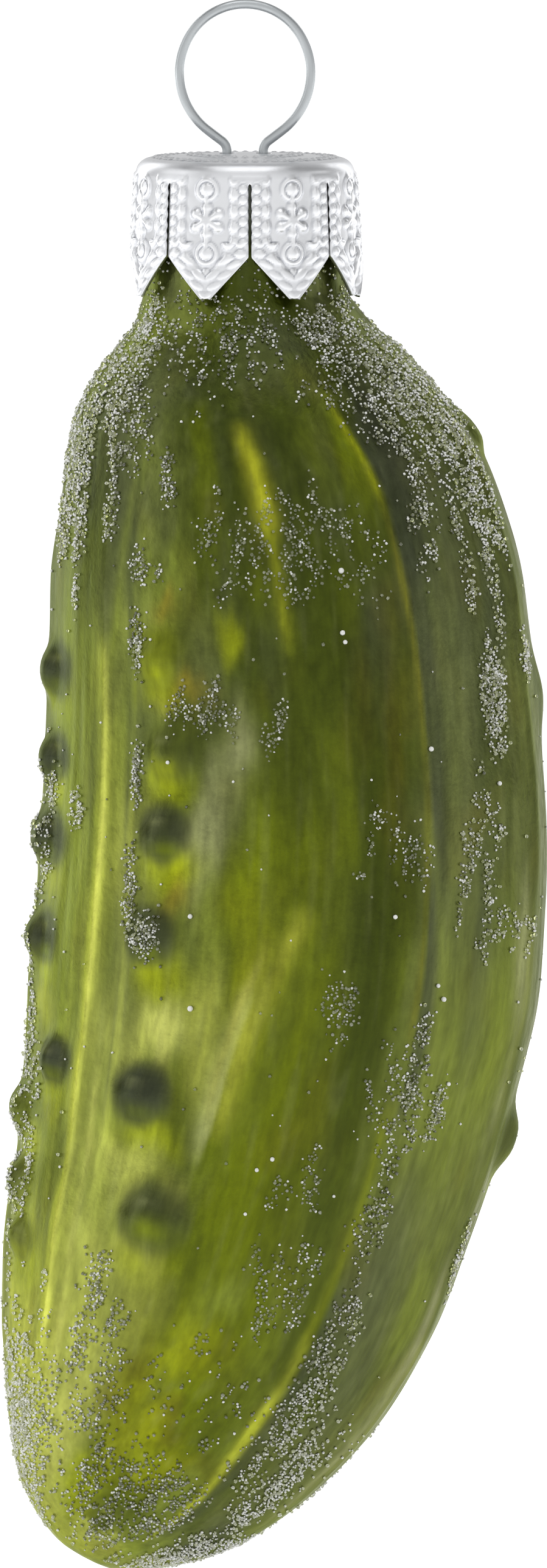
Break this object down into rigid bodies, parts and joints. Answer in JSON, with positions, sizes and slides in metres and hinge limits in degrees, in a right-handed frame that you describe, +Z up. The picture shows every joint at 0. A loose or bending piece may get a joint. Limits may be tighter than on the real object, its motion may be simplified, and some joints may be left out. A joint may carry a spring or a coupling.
{
  "type": "pickle ornament",
  "caption": "Curved blown-glass pickle ornament with lengthwise creases and warts, a stamped crown cap that pulls off its neck, and a sprung wire hanging loop.",
  "frame": {"origin": "inside of the top of the wire loop, on the axis of the glass neck: the point where a hook bears", "axes": "+Z up along the axis of the neck, +X to the right seen from the front, the front faces -Y; the pickle's lower end curls towards -X"},
  "size_m": [0.0346, 0.0303, 0.1002],
  "materials": {
    "lacquered_glass": "silvered inside, translucent green lacquer outside, satin, with fine lengthwise brush marks",
    "frost": "clear crystal grains",
    "cap_metal": "bright stamped sheet, satin",
    "wire": "drawn spring wire, satin"
  },
  "bodies": {
    "hanger": {"hanger": "wire"},
    "cap": {"cap": "cap_metal"},
    "glass": {"glass_body": "lacquered_glass", "frost_grains": "frost"}
  },
  "joints": [
    {"name": "loop_tilt", "type": "hinge", "parent": "hanger", "child": "cap", "pos_m": [0, 0, -0.00924], "axis": [1, 0, 0], "range_deg": [-5, 5]},
    {"name": "glass_pull", "type": "slide", "parent": "cap", "child": "glass", "axis": [0, 0, -1], "range_m": [0, 0.015]}
  ]
}
